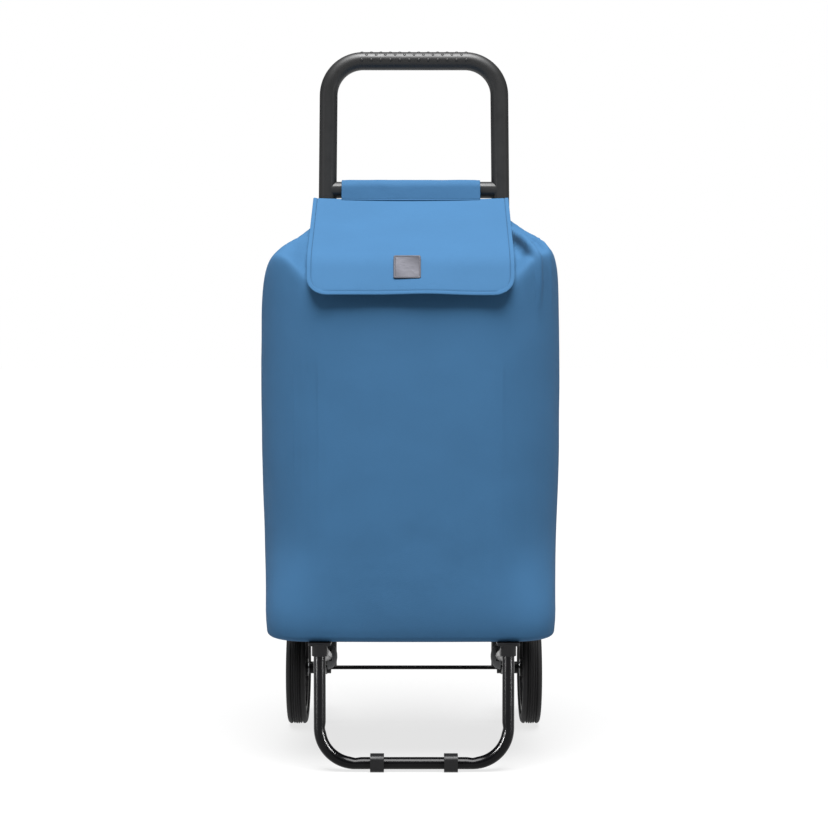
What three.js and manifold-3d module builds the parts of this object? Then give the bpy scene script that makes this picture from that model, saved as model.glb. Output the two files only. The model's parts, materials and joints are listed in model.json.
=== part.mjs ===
// Folding two-wheeled shopping trolley: a steel tube frame with a plastic handle loop, a folding
// base with a U-shaped front leg, two wheels on a through axle and a fabric bag with a flap.
// Millimetres. X runs across the trolley, -Y is its front, +Z is up and z = 0 is the floor.
// Depths are first measured from the axis of the rear tubes; the whole trolley is then moved
// along Y so that the origin lies below the middle of its box.

import * as THREE from "three";
import { mergeVertices } from "three/addons/utils/BufferGeometryUtils.js";
import Module from "manifold-3d";

const wasm = await Module();
wasm.setup();

// ---- driving dimensions ----

const fit = 0.3; // clearance between pieces that touch
const sideSigns = { left: -1, right: 1 }; // left is -X

const tube = { radius: 8, wall: 1.2, x: 125 };
const bore = tube.radius + fit; // a socket that takes the frame tube

const handle = {
  radius: 12.7, bottom: 748, top: 989, corner: 50, halfTop: 123.9, halfBottom: 125.7,
  barHeight: 790, barRadius: 12, socketDepth: 90,
};
const brace = { height: 240, radius: 6, wall: 1 };

const axle = { radius: 3, y: 45, height: 82.5, halfLength: 188.9 };
const wheel = {
  radius: axle.height, halfWidth: 14.1, x: 172.3,
  tyreInner: 68, rimInner: 58, hub: 13, hubHole: 7.3,
};

const pivot = { y: -32, height: 113 };
const leg = { y: -262, bend: 47, lowTube: 11 };
const elbow = { height: 161, radius: 10.3, bottom: 154.8, padTop: 171.7 };
const foot = { x: 49, halfWidth: 9.1, halfDepth: 11.5, height: 23 };

const bracket = {
  lobe: 19, axleLobe: 10, socket: 11.5, top: 158, bottom: 93,
  cheekIn: 129.6, slotIn: 131.6, slotOut: 137.2, cheekOut: 140.2,
  bossRadius: 12.5, bossEnd: 119.8, axleBoss: 9, axleBossIn: 124, axleBossOut: 156.1,
};
const lug = { inner: 131.9, outer: 136.9, eye: 9 };
const button = { radius: 19, hollow: 13, rim: 125.3, height: 14, floor: 10.3 };
const spring = { outer: 10.5, wire: 1.2, turns: 3.5, height: 10.6, low: -1.3 };

const bag = {
  halfWidth: 200.5, back: -13, front: -266, bottom: 175, corner: 45, frontCorner: 95, cloth: 2.5,
  seam: 620, // where the straight body meets the gathered collar
  shoulderStart: 630, shoulderRadius: 90, shoulderAngle: 44, topHalfWidth: 130,
  slope: 0.39, // how far the top drops for each millimetre forward
  backTop: 758, frontRounding: 60,
  mouth: { halfWidth: 108, back: -68, front: -200, corner: 40 },
};
const flap = {
  y: -17.5, height: 774.5, thickness: 2.4, bendStart: -232, bendRadius: 25, dropAngle: 60,
  bottom: 634, halfTop: 141.5, halfBottom: 136.5, corner: 28,
};
const sleeve = { halfWidth: 100.5, thickness: 1.9, tail: 764 };
const label = { x: -4.5, size: 36, thickness: 1.2, middle: 667 };

// ---- small helpers for points, solids and placing ----

const at = (x, y, z) => new THREE.Vector3(x, y, z);
const flat = (u, v) => new THREE.Vector2(u, v);
const radians = THREE.MathUtils.degToRad;
const degrees = THREE.MathUtils.radToDeg;
const AXES = { x: at(1, 0, 0), y: at(0, 1, 0), z: at(0, 0, 1) };

// A geometry as a manifold solid, for cutting and joining.
function solid(geometry) {
  const bare = new THREE.BufferGeometry();
  bare.setAttribute("position", geometry.attributes.position);
  bare.setIndex(geometry.index);
  const merged = mergeVertices(bare, 1e-4);
  return new wasm.Manifold(new wasm.Mesh({
    numProp: 3,
    vertProperties: new Float32Array(merged.attributes.position.array),
    triVerts: new Uint32Array(merged.index.array),
  }));
}

// A manifold solid as a three.js geometry.
function surface(body) {
  const mesh = body.getMesh();
  const geometry = new THREE.BufferGeometry();
  geometry.setAttribute("position", new THREE.BufferAttribute(mesh.vertProperties, 3));
  geometry.setIndex(new THREE.BufferAttribute(mesh.triVerts, 1));
  return geometry;
}

const joined = (first, ...rest) => rest.reduce((body, part) => body.add(solid(part)), solid(first));
const cut = (body, ...tools) => tools.reduce((rest, tool) => rest.subtract(solid(tool)), body);

// Turns a geometry made along local Y so that it runs from one point towards another.
function aim(geometry, from, to) {
  const direction = to.clone().sub(from).normalize();
  const turn = new THREE.Quaternion().setFromUnitVectors(AXES.y, direction);
  return geometry.applyQuaternion(turn).translate(from.x, from.y, from.z);
}

function rod(from, to, radius, sides = 20) {
  const length = from.distanceTo(to);
  const geometry = new THREE.CylinderGeometry(radius, radius, length, sides);
  return aim(geometry.translate(0, length / 2, 0), from, to);
}

function lathe(profile, sides) {
  return new THREE.LatheGeometry(profile.map(([r, h]) => flat(r, h)), sides);
}

function ring(inner, outer, low, high, sides = 20) {
  return lathe([[inner, low], [outer, low], [outer, high], [inner, high], [inner, low]], sides);
}

function pipe(from, to, outer, inner, sides = 20) {
  return aim(ring(inner, outer, 0, from.distanceTo(to), sides), from, to);
}

function box(x0, x1, y0, y1, z0, z1) {
  const geometry = new THREE.BoxGeometry(Math.abs(x1 - x0), Math.abs(y1 - y0), Math.abs(z1 - z0));
  return geometry.translate((x0 + x1) / 2, (y0 + y1) / 2, (z0 + z1) / 2);
}

// Extrusions of an outline drawn in the side view (y, z), the front view (x, z) or the plan (x, y).
function extruded(shape, depth, curveSegments) {
  return new THREE.ExtrudeGeometry(shape, { depth, bevelEnabled: false, curveSegments });
}

function fromSide(shape, x0, x1, curveSegments = 6) {
  const turn = new THREE.Matrix4().makeBasis(AXES.y, AXES.z, AXES.x);
  return extruded(shape, Math.abs(x1 - x0), curveSegments)
    .applyMatrix4(turn).translate(Math.min(x0, x1), 0, 0);
}

function fromFront(shape, y0, y1, curveSegments = 6) {
  const turn = new THREE.Matrix4().makeBasis(AXES.x, AXES.z, at(0, -1, 0));
  return extruded(shape, Math.abs(y1 - y0), curveSegments)
    .applyMatrix4(turn).translate(0, Math.max(y0, y1), 0);
}

function fromAbove(shape, z0, z1, curveSegments = 6) {
  return extruded(shape, z1 - z0, curveSegments).translate(0, 0, z0);
}

function polygon(...points) {
  return new THREE.Shape(points.map(([u, v]) => flat(u, v)));
}

function roundedRectangle(u0, u1, v0, v1, radius) {
  const shape = new THREE.Shape();
  shape.absarc(u1 - radius, v0 + radius, radius, -Math.PI / 2, 0);
  shape.absarc(u1 - radius, v1 - radius, radius, 0, Math.PI / 2);
  shape.absarc(u0 + radius, v1 - radius, radius, Math.PI / 2, Math.PI);
  shape.absarc(u0 + radius, v0 + radius, radius, Math.PI, 1.5 * Math.PI);
  shape.closePath();
  return shape;
}

// Points of an arc in the (u, v) plane, both ends included.
function arc(u, v, radius, startDegrees, endDegrees, steps) {
  return Array.from({ length: steps + 1 }, (_, i) => {
    const angle = radians(startDegrees + ((endDegrees - startDegrees) * i) / steps);
    return [u + radius * Math.cos(angle), v + radius * Math.sin(angle)];
  });
}

// A bent tube's centre line: equal steps of the parameter fall on the given points.
class Route extends THREE.Curve {
  constructor(points) {
    super();
    this.points = points;
  }

  getPoint(t, target = new THREE.Vector3()) {
    const last = this.points.length - 1;
    const place = Math.min(Math.max(t, 0), 1) * last;
    const index = Math.min(Math.floor(place), last - 1);
    return target.lerpVectors(this.points[index], this.points[index + 1], place - index);
  }

  getUtoTmapping(u) {
    return u;
  }
}

function circle(radius, sides) {
  return new THREE.Shape(arc(0, 0, radius, 0, 360, sides).slice(0, -1).map(([u, v]) => flat(u, v)));
}

function sweep(section, points) {
  const path = new Route(points);
  return new THREE.ExtrudeGeometry(section, { steps: points.length - 1, extrudePath: path });
}

// ---- materials ----

const finish = (color, roughness, metalness = 0) =>
  new THREE.MeshStandardMaterial({ color, roughness, metalness });

const materials = {
  blackSteel: finish(0x0c0c0e, 0.2, 0.3),
  zinc: finish(0xa8aaac, 0.35, 0.9),
  handlePlastic: finish(0x3b3c3e, 0.6),
  blackPlastic: finish(0x17181a, 0.5),
  greyPlastic: finish(0x6e7173, 0.65),
  tyreRubber: finish(0x2b2b2c, 0.8),
  blueCloth: finish(0x3f6d9a, 0.85),
  blackCloth: finish(0x141416, 0.9),
  labelMetal: finish(0x8b8e93, 0.4, 0.8),
};

// ---- frame: rear tubes, handle, brace and brackets ----

const tubeTop = handle.bottom + handle.socketDepth;
const screwHeight = handle.bottom + 13;
const screw = { radius: 2, head: 4, headHeight: 1.8 };

function screwHole(side) {
  return rod(at(side * tube.x, 0, screwHeight), at(side * tube.x, 20, screwHeight), screw.radius + fit, 12);
}

function rearTube(side) {
  const x = side * tube.x;
  const wall = pipe(
    at(x, 0, bracket.bottom + 4 + fit), at(x, 0, tubeTop - fit), tube.radius, tube.radius - tube.wall,
  );
  return surface(cut(solid(wall), screwHole(side)));
}

function handleRoute() {
  const bendTop = handle.top - handle.radius - handle.corner;
  const centre = handle.halfTop - handle.corner;
  const right = arc(centre, bendTop, handle.corner, 0, 90, 6);
  const left = right.map(([x, z]) => [-x, z]).reverse();
  const outline = [[handle.halfBottom, handle.bottom], ...right, ...left, [-handle.halfBottom, handle.bottom]];
  return outline.map(([x, z]) => at(x, 0, z));
}

function handleLoop() {
  const halfBar = tube.x - 4;
  const bar = rod(at(-halfBar, 0, handle.barHeight), at(halfBar, 0, handle.barHeight), handle.barRadius, 16);
  const loop = joined(sweep(circle(handle.radius, 16), handleRoute()), bar);
  const sockets = Object.values(sideSigns).map((side) =>
    rod(at(side * tube.x, 0, handle.bottom - 5), at(side * tube.x, 0, tubeTop), bore));
  return surface(cut(loop, ...sockets, ...Object.values(sideSigns).map(screwHole)));
}

// The screw's head sits on the back of the handle and its shank ends inside the rear tube.
function handleScrew() {
  const seat = handle.radius + fit;
  const shankEnd = tube.radius - tube.wall;
  return lathe([
    [0, shankEnd], [screw.radius, shankEnd], [screw.radius, seat], [screw.head, seat],
    [screw.head, seat + 0.8], [screw.head / 2, seat + screw.headHeight], [0, seat + screw.headHeight],
  ], 12);
}

function rearBrace() {
  const ends = [at(-tube.x, 0, brace.height), at(tube.x, 0, brace.height)];
  const across = solid(pipe(...ends, brace.radius, brace.radius - brace.wall, 16));
  const saddles = Object.values(sideSigns).map((side) =>
    rod(at(side * tube.x, 0, brace.height - 20), at(side * tube.x, 0, brace.height + 20), bore));
  return surface(cut(across, ...saddles));
}

function bracketPlate() {
  const shape = new THREE.Shape();
  shape.absarc(axle.y, axle.height, bracket.axleLobe, radians(-100), radians(60));
  shape.lineTo(12, bracket.top - 18);
  shape.lineTo(12, bracket.top);
  shape.lineTo(-12, bracket.top);
  shape.lineTo(-12, bracket.top - 24);
  shape.absarc(pivot.y, pivot.height, bracket.lobe, radians(50), radians(290));
  shape.closePath();
  return shape;
}

// Holds the foot of the rear tube, the axle and, between two cheeks, the eye of the base arm.
function sideBracket(side) {
  const x = (distance) => side * distance;
  const pivotAt = (distance) => at(x(distance), pivot.y, pivot.height);
  const axleAt = (distance) => at(x(distance), axle.y, axle.height);
  const body = joined(
    fromSide(bracketPlate(), x(bracket.cheekIn), x(bracket.cheekOut)),
    rod(at(x(tube.x), 0, bracket.bottom), at(x(tube.x), 0, bracket.top), bracket.socket),
    rod(pivotAt(bracket.bossEnd), pivotAt(bracket.cheekIn + 1), bracket.bossRadius),
    rod(axleAt(bracket.axleBossIn), axleAt(bracket.axleBossOut), bracket.axleBoss, 16),
  );
  const pinHole = axle.radius + fit;
  return surface(cut(
    body,
    box(x(bracket.slotIn), x(bracket.slotOut), -70, -14.5, 80, 170),
    rod(at(x(tube.x), 0, bracket.bottom + 4), at(x(tube.x), 0, bracket.top + 5), bore),
    rod(axleAt(bracket.axleBossIn - 5), axleAt(bracket.axleBossOut + 5), pinHole, 12),
    rod(pivotAt(bracket.cheekIn - 1.7), pivotAt(bracket.cheekOut + 5), pinHole, 12),
    rod(pivotAt(bracket.bossEnd - 5), pivotAt(bracket.cheekIn - 2), spring.outer + 0.8, 20),
  ));
}

// A headed pin along local Y; its head comes last.
function pin() {
  const length = bracket.cheekOut - bracket.cheekIn + 1.6;
  return lathe([
    [0, 0], [axle.radius, 0], [axle.radius, length], [6, length], [6, length + 1.4], [4.5, length + 2.2],
    [0, length + 2.2],
  ], 12);
}

// ---- release buttons ----

// A hollow dome over the bracket's boss, along local Y.
function buttonDome() {
  const dome = arc(0, 0, 1, 0, 90, 4).map(([u, v]) => [
    button.radius * u, 2 + (button.height - 2) * v,
  ]);
  dome[dome.length - 1][0] = 0;
  return lathe([
    [0, button.floor], [button.hollow, button.floor], [button.hollow, 0], [button.radius, 0], ...dome,
  ], 24);
}

function buttonSpring() {
  const radius = spring.outer - spring.wire / 2;
  const stepsPerTurn = 10;
  const steps = spring.turns * stepsPerTurn;
  const points = Array.from({ length: steps + 1 }, (_, i) => {
    const angle = (2 * Math.PI * i) / stepsPerTurn;
    return at(radius * Math.cos(angle), (spring.height * i) / steps, radius * Math.sin(angle));
  });
  return sweep(circle(spring.wire / 2, 5), points);
}

// ---- wheels, built along local Y with the outside of the wheel at +Y ----

function tyre() {
  const w = wheel.halfWidth;
  const shoulder = 9;
  const groove = { pitch: 3.6, half: 0.8, depth: 1.6 };
  const rounding = arc(w - shoulder, wheel.radius - shoulder, shoulder, 0, 90, 3);
  const crown = [-groove.pitch, 0, groove.pitch].flatMap((middle) => [
    [wheel.radius, middle - groove.half], [wheel.radius - groove.depth, middle],
    [wheel.radius, middle + groove.half],
  ]);
  return lathe([
    [wheel.tyreInner, -w + 2], [wheel.tyreInner + 3, -w],
    ...rounding.map(([h, r]) => [r, -h]),
    ...crown,
    ...rounding.map(([h, r]) => [r, h]).reverse(),
    [wheel.tyreInner + 3, w], [wheel.tyreInner, w - 2], [wheel.tyreInner, -w + 2],
  ], 36);
}

function rim() {
  const windows = 6;
  const web = circle(wheel.rimInner + 1, 36);
  for (let i = 0; i < windows; i += 1) {
    const middle = (360 / windows) * i;
    const hole = new THREE.Path();
    hole.absarc(0, 0, wheel.rimInner - 7, radians(middle - 20), radians(middle + 20));
    hole.absarc(0, 0, wheel.hub + 9, radians(middle + 12), radians(middle - 12), true);
    hole.closePath();
    web.holes.push(hole);
  }
  const disc = extruded(web, 5, 3).translate(0, 0, -2.5).rotateX(-Math.PI / 2);
  const band = ring(wheel.rimInner, wheel.tyreInner - fit, -11.5, 11.5, 36);
  const hub = ring(wheel.hubHole, wheel.hub, -wheel.halfWidth, 13);
  const opening = rod(at(0, -20, 0), at(0, 20, 0), wheel.hubHole);
  return surface(cut(solid(disc), opening).add(solid(band)).add(solid(hub)));
}

function bush() {
  return ring(axle.radius + fit, wheel.hubHole - fit, -wheel.halfWidth, 13.3, 16);
}

// Domed cap over the hub; its hollow clears the push nut on the axle's end.
function hubCap() {
  const rimRadius = 16;
  const start = 13.3;
  const crown = wheel.halfWidth + 5.1;
  const cavity = { radius: 9, top: 17.4 };
  return lathe([
    [0, cavity.top], [cavity.radius, cavity.top], [cavity.radius, start], [rimRadius, start],
    [rimRadius, start + 2], [rimRadius - 2, start + 4.2], [rimRadius - 7, crown - 0.3], [0, crown],
  ], 24);
}

function axleNut() {
  return ring(axle.radius + fit, 6.5, wheel.halfWidth, wheel.halfWidth + 2.2, 12);
}

function wheelWasher() {
  return ring(axle.radius + fit, 8, -wheel.halfWidth - 1.7, -wheel.halfWidth - 0.3, 12);
}

// ---- folding base ----

const armRise = elbow.height - pivot.height;
const armReach = pivot.y - leg.y;
const armLength = Math.hypot(armRise, armReach);
const armTilt = Math.atan2(armRise, armReach);
const armStart = 26; // from the pivot to the tube's end
const armStop = armLength - tube.radius - 4;

// Base arm pieces lie along local -Y, with the pivot at the local origin.
function armTube(side) {
  return pipe(
    at(side * tube.x, -armStart, 0), at(side * tube.x, -armStop, 0), tube.radius, tube.radius - tube.wall,
  );
}

function armEnd(side) {
  const x = (distance) => side * distance;
  const stub = tube.radius - tube.wall - fit;
  const block = { back: -20.6, front: -armStart + fit, inner: 118, half: 7.8 };
  const body = joined(
    rod(at(x(lug.inner), 0, 0), at(x(lug.outer), 0, 0), lug.eye),
    box(x(lug.inner), x(lug.outer), block.front, 0, -7, 7),
    box(x(block.inner), x(lug.outer), block.front, block.back, -block.half, block.half),
    rod(at(x(tube.x), block.front + 1, 0), at(x(tube.x), -armStart - 26, 0), stub, 20),
  );
  const hole = rod(at(x(lug.inner - 5), 0, 0), at(x(lug.outer + 5), 0, 0), axle.radius + fit, 12);
  return surface(cut(body, hole));
}

// Corner that joins the arm to the front leg, with a flat pad under the bag.
function elbowCorner(side) {
  const x = side * tube.x;
  const along = (distance) => at(x, leg.y + distance * Math.cos(armTilt), elbow.height - distance * Math.sin(armTilt));
  const pad = roundedRectangle(x - 15, x + 15, leg.y - 8, leg.y + 34, 6);
  const body = joined(
    rod(at(x, leg.y, elbow.bottom), at(x, leg.y, elbow.padTop - 1), elbow.radius),
    rod(along(0), along(40), elbow.radius),
    fromAbove(pad, elbow.padTop - 3.4, elbow.padTop, 4),
  );
  return surface(cut(
    body,
    box(x - 20, x + 20, leg.y - 20, leg.y + 8, elbow.bottom - 20, elbow.bottom),
    rod(at(x, leg.y, elbow.bottom - 10), at(x, leg.y, elbow.height + 5), bore),
    rod(along(armLength - armStop - fit), along(60), bore),
  ));
}

function frontLeg() {
  const section = circle(tube.radius, 12);
  section.holes.push(circle(tube.radius - tube.wall, 12));
  const centre = tube.x - leg.bend;
  const right = arc(centre, leg.lowTube + leg.bend, leg.bend, 0, -90, 6);
  const left = right.map(([x, z]) => [-x, z]).reverse();
  const top = elbow.height + 5 - fit;
  const outline = [[tube.x, top], ...right, ...left, [-tube.x, top]];
  return sweep(section, outline.map(([x, z]) => at(x, leg.y, z)));
}

function footClip(side) {
  const x = side * foot.x;
  const shape = roundedRectangle(leg.y - foot.halfDepth, leg.y + foot.halfDepth, 0, foot.height, 7);
  const tunnel = rod(at(x - 20, leg.y, leg.lowTube), at(x + 20, leg.y, leg.lowTube), bore);
  return surface(cut(solid(fromSide(shape, x - foot.halfWidth, x + foot.halfWidth, 4)), tunnel));
}

// ---- bag ----

// Height of the bag's sloping top at a depth y.
const slopeAngle = Math.atan(bag.slope);
const topHeight = (y) => bag.backTop + (y - bag.back) * bag.slope;

// The bag seen from above: its front corners are much fuller than its back ones.
function bagPlan(inset) {
  const half = bag.halfWidth - inset;
  const [back, front] = [bag.back - inset, bag.front + inset];
  const [tight, full] = [bag.corner - inset, bag.frontCorner - inset];
  return polygon(
    ...arc(half - tight, back - tight, tight, 0, 90, 5),
    ...arc(-half + tight, back - tight, tight, 90, 180, 5),
    ...arc(-half + full, front + full, full, 180, 270, 8),
    ...arc(half - full, front + full, full, 270, 360, 8),
  );
}

// The bag's closed outer volume, pulled in all round by an inset: its plan cut by a sloping,
// round-fronted top and by two gathered shoulders.
function bagVolume(inset) {
  const half = bag.halfWidth - inset;
  const [back, front] = [bag.back - inset, bag.front + inset];
  const low = bag.bottom + inset;
  const rounding = bag.frontRounding - inset;
  const drop = inset / Math.cos(slopeAngle);
  const edge = topHeight(front + rounding) - drop;
  const centre = [front + rounding, edge - rounding / Math.cos(slopeAngle)];
  const nose = arc(...centre, rounding, 90 + degrees(slopeAngle), 180, 6);
  const profile = polygon([front, low], [back + 1, low], [back + 1, topHeight(back + 1) - drop], ...nose);

  const bend = bag.shoulderRadius - inset;
  const shoulder = arc(half - bend, bag.shoulderStart, bend, 0, bag.shoulderAngle, 5);
  const [lastX, lastZ] = shoulder[shoulder.length - 1];
  const rise = (lastX - bag.topHalfWidth) / Math.tan(radians(bag.shoulderAngle));
  const right = [[half, low], ...shoulder, [bag.topHalfWidth, lastZ + rise], [bag.topHalfWidth, bag.backTop + 20]];
  const left = right.map(([x, z]) => [-x, z]).reverse();
  const elevation = polygon(...right, ...left);

  return solid(fromAbove(bagPlan(inset), low, bag.backTop + 20, 5))
    .intersect(solid(fromSide(profile, -half - 1, half + 1)))
    .intersect(solid(fromFront(elevation, front - 1, back + 1)));
}

function mouthOpening() {
  const { halfWidth, back, front, corner } = bag.mouth;
  return fromAbove(roundedRectangle(-halfWidth, halfWidth, front, back, corner), bag.seam, bag.backTop + 30, 4);
}

const bagCloth = bagVolume(0).subtract(bagVolume(bag.cloth));
const aboveSeam = box(-300, 300, -400, 100, bag.seam, bag.backTop + 60);
const belowSeam = box(-300, 300, -400, 100, 0, bag.seam + fit);

const bagBody = () => surface(cut(bagCloth, aboveSeam));
const bagCollar = () => surface(cut(bagCloth, belowSeam, mouthOpening()));

function bagBasePanel() {
  return fromAbove(bagPlan(2), elbow.padTop + fit, bag.bottom - fit, 5);
}

function baseStiffener() {
  const plan = bagPlan(bag.cloth + 6);
  const low = bag.bottom + bag.cloth + fit;
  return fromAbove(plan, low, low + 2, 5);
}

// Cloth tunnel round the crossbar, with a tail sewn to the top of the bag's back.
function barSleeve() {
  const outer = handle.barRadius + sleeve.thickness;
  const shape = new THREE.Shape();
  shape.absarc(0, handle.barHeight, outer, radians(-150), radians(180));
  shape.lineTo(-outer, sleeve.tail);
  shape.lineTo(-outer + 2.2, sleeve.tail);
  shape.closePath();
  const tunnel = rod(
    at(-sleeve.halfWidth - 5, 0, handle.barHeight), at(sleeve.halfWidth + 5, 0, handle.barHeight),
    handle.barRadius + fit, 20,
  );
  return surface(cut(solid(fromSide(shape, -sleeve.halfWidth, sleeve.halfWidth, 8)), tunnel));
}

// A strap from the bag's back round a rear tube.
function frameStrap(side) {
  const x = side * tube.x;
  const low = 330;
  const outer = tube.radius + 2.2;
  const loop = joined(
    rod(at(x, 0, low), at(x, 0, low + 30), outer),
    box(x - outer, x + outer, bag.back + fit, 0, low, low + 30),
  );
  return surface(cut(loop, rod(at(x, 0, low - 5), at(x, 0, low + 35), bore)));
}

// An eyelet beside the middle of the mouth's front edge, lying on the slope.
const eyelet = { x: 30, y: bag.mouth.front - 14, inner: 4, outer: 7, thickness: 1.4 };

function eyeletRing() {
  return ring(eyelet.inner, eyelet.outer, fit, fit + eyelet.thickness, 16).rotateX(Math.PI / 2);
}

// ---- flap ----

// The outer face in the side view: down the slope, round a bend and down the front.
function flapRun() {
  const bendHeight = flap.height + (flap.bendStart - flap.y) * bag.slope;
  const centre = [
    flap.bendStart + flap.bendRadius * Math.sin(slopeAngle),
    bendHeight - flap.bendRadius * Math.cos(slopeAngle),
  ];
  const bend = arc(...centre, flap.bendRadius, 90 + degrees(slopeAngle), 90 + flap.dropAngle, 5);
  const [dropY, dropZ] = bend[bend.length - 1];
  const tip = dropY - (dropZ - flap.bottom) / Math.tan(radians(flap.dropAngle));
  return [[flap.y, flap.height], ...bend, [tip, flap.bottom]];
}

function flapSheet() {
  const outer = flapRun();
  const inner = outer.map(([y, z], i) => {
    const [y0, z0] = outer[Math.max(i - 1, 0)];
    const [y1, z1] = outer[Math.min(i + 1, outer.length - 1)];
    const step = flap.thickness / Math.hypot(y1 - y0, z1 - z0);
    return [y - (z1 - z0) * step, z + (y1 - y0) * step];
  });
  const profile = polygon(...outer, ...inner.reverse());
  const { halfTop, halfBottom, corner, bottom } = flap;
  const cutting = new THREE.Shape();
  cutting.moveTo(halfTop, flap.height + 10);
  cutting.lineTo(-halfTop, flap.height + 10);
  cutting.absarc(-halfBottom + corner, bottom + corner, corner, Math.PI, 1.5 * Math.PI);
  cutting.absarc(halfBottom - corner, bottom + corner, corner, 1.5 * Math.PI, 2 * Math.PI);
  cutting.closePath();
  return surface(
    solid(fromSide(profile, -halfTop - 5, halfTop + 5))
      .intersect(solid(fromFront(cutting, bag.front - 30, 0))),
  );
}

// A square plate that lies against the flap's front; local +Z is its face.
function labelPlate() {
  const half = label.size / 2;
  return fromAbove(roundedRectangle(-half, half, -half, half, 2.5), fit, fit + label.thickness, 3);
}

// ---- the scene graph ----

const trolley = new THREE.Group();
const bodies = Object.fromEntries(["frame", "bag", "base", "flap"].map((name) => {
  const group = new THREE.Group();
  trolley.add(group);
  return [name, group];
}));

function add(parent, name, geometry, material) {
  const mesh = new THREE.Mesh(geometry, material);
  mesh.name = name;
  parent.add(mesh);
  return mesh;
}

const { frame, base } = bodies;
add(frame, "handle_loop", handleLoop(), materials.handlePlastic);
add(frame, "rear_brace", rearBrace(), materials.blackSteel);
add(frame, "axle", rod(
  at(-axle.halfLength, axle.y, axle.height), at(axle.halfLength, axle.y, axle.height), axle.radius, 12,
), materials.blackSteel);

const arms = new THREE.Group(); // local origin at the base's pivot, local -Y along the arms
arms.position.set(0, pivot.y, pivot.height);
arms.rotation.x = -armTilt;
base.add(arms);
add(base, "front_leg", frontLeg(), materials.blackSteel);

for (const [name, side] of Object.entries(sideSigns)) {
  add(frame, `rear_tube_${name}`, rearTube(side), materials.blackSteel);
  add(frame, `side_bracket_${name}`, sideBracket(side), materials.blackPlastic);
  add(frame, `handle_screw_${name}`, handleScrew(), materials.zinc).position.set(side * tube.x, 0, screwHeight);

  const pivotPin = add(frame, `pivot_pin_${name}`, pin(), materials.zinc);
  pivotPin.position.set(side * (bracket.cheekIn - 1.3), pivot.y, pivot.height);
  pivotPin.rotation.z = (-side * Math.PI) / 2;

  const release = new THREE.Group(); // local +Y points to the middle of the trolley
  release.position.set(side * button.rim, pivot.y, pivot.height);
  release.rotation.z = (side * Math.PI) / 2;
  frame.add(release);
  add(release, `release_button_${name}`, buttonDome(), materials.greyPlastic);
  const coil = add(release, `button_spring_${name}`, buttonSpring(), materials.zinc);
  coil.position.y = spring.low;

  const wheelGroup = new THREE.Group(); // local +Y points away from the trolley
  wheelGroup.position.set(side * wheel.x, axle.y, axle.height);
  wheelGroup.rotation.z = (-side * Math.PI) / 2;
  trolley.add(wheelGroup);
  add(wheelGroup, `tyre_${name}`, tyre(), materials.tyreRubber);
  add(wheelGroup, `rim_${name}`, rim(), materials.blackPlastic);
  add(wheelGroup, `wheel_bush_${name}`, bush(), materials.greyPlastic);
  add(wheelGroup, `hub_cap_${name}`, hubCap(), materials.blackPlastic);
  add(wheelGroup, `axle_nut_${name}`, axleNut(), materials.zinc);
  add(wheelGroup, `wheel_washer_${name}`, wheelWasher(), materials.zinc);

  add(arms, `arm_tube_${name}`, armTube(side), materials.blackSteel);
  add(arms, `arm_end_${name}`, armEnd(side), materials.blackPlastic);
  add(base, `elbow_${name}`, elbowCorner(side), materials.blackPlastic);
  add(base, `foot_clip_${name}`, footClip(side), materials.blackPlastic);

  add(bodies.bag, `frame_strap_${name}`, frameStrap(side), materials.blackCloth);
  const metalRing = add(bodies.bag, `eyelet_${name}`, eyeletRing(), materials.zinc);
  metalRing.position.set(side * eyelet.x, eyelet.y, topHeight(eyelet.y));
  metalRing.rotation.x = slopeAngle;
}

add(bodies.bag, "bag_body", bagBody(), materials.blueCloth);
add(bodies.bag, "bag_collar", bagCollar(), materials.blueCloth);
add(bodies.bag, "bag_base_panel", bagBasePanel(), materials.blackCloth);
add(bodies.bag, "base_stiffener", baseStiffener(), materials.blackPlastic);
add(bodies.bag, "bar_sleeve", barSleeve(), materials.blueCloth);

add(bodies.flap, "flap", flapSheet(), materials.blueCloth);
const plate = add(bodies.flap, "label_plate", labelPlate(), materials.labelMetal);
const [flapTipY, flapTipZ] = flapRun().at(-1);
plate.position.set(label.x, flapTipY + (label.middle - flapTipZ) / Math.tan(radians(flap.dropAngle)), label.middle);
plate.rotation.x = radians(flap.dropAngle);

// The origin goes below the middle of the box, between the foot clips and the back of the wheels.
const frontmost = leg.y - foot.halfDepth;
const rearmost = axle.y + wheel.radius;
trolley.position.y = -(frontmost + rearmost) / 2;

export default trolley;
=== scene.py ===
# Folding shopping trolley: the sewn bag with its flap and sleeve, the moulded handle, the bent
# steel leg and the grooved wheels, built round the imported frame.
# Metres. X runs across the trolley, -Y is its front, +Z is up and z = 0 is the floor.

import json
import math

import bpy
import numpy as np
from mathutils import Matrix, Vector, noise

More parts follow.
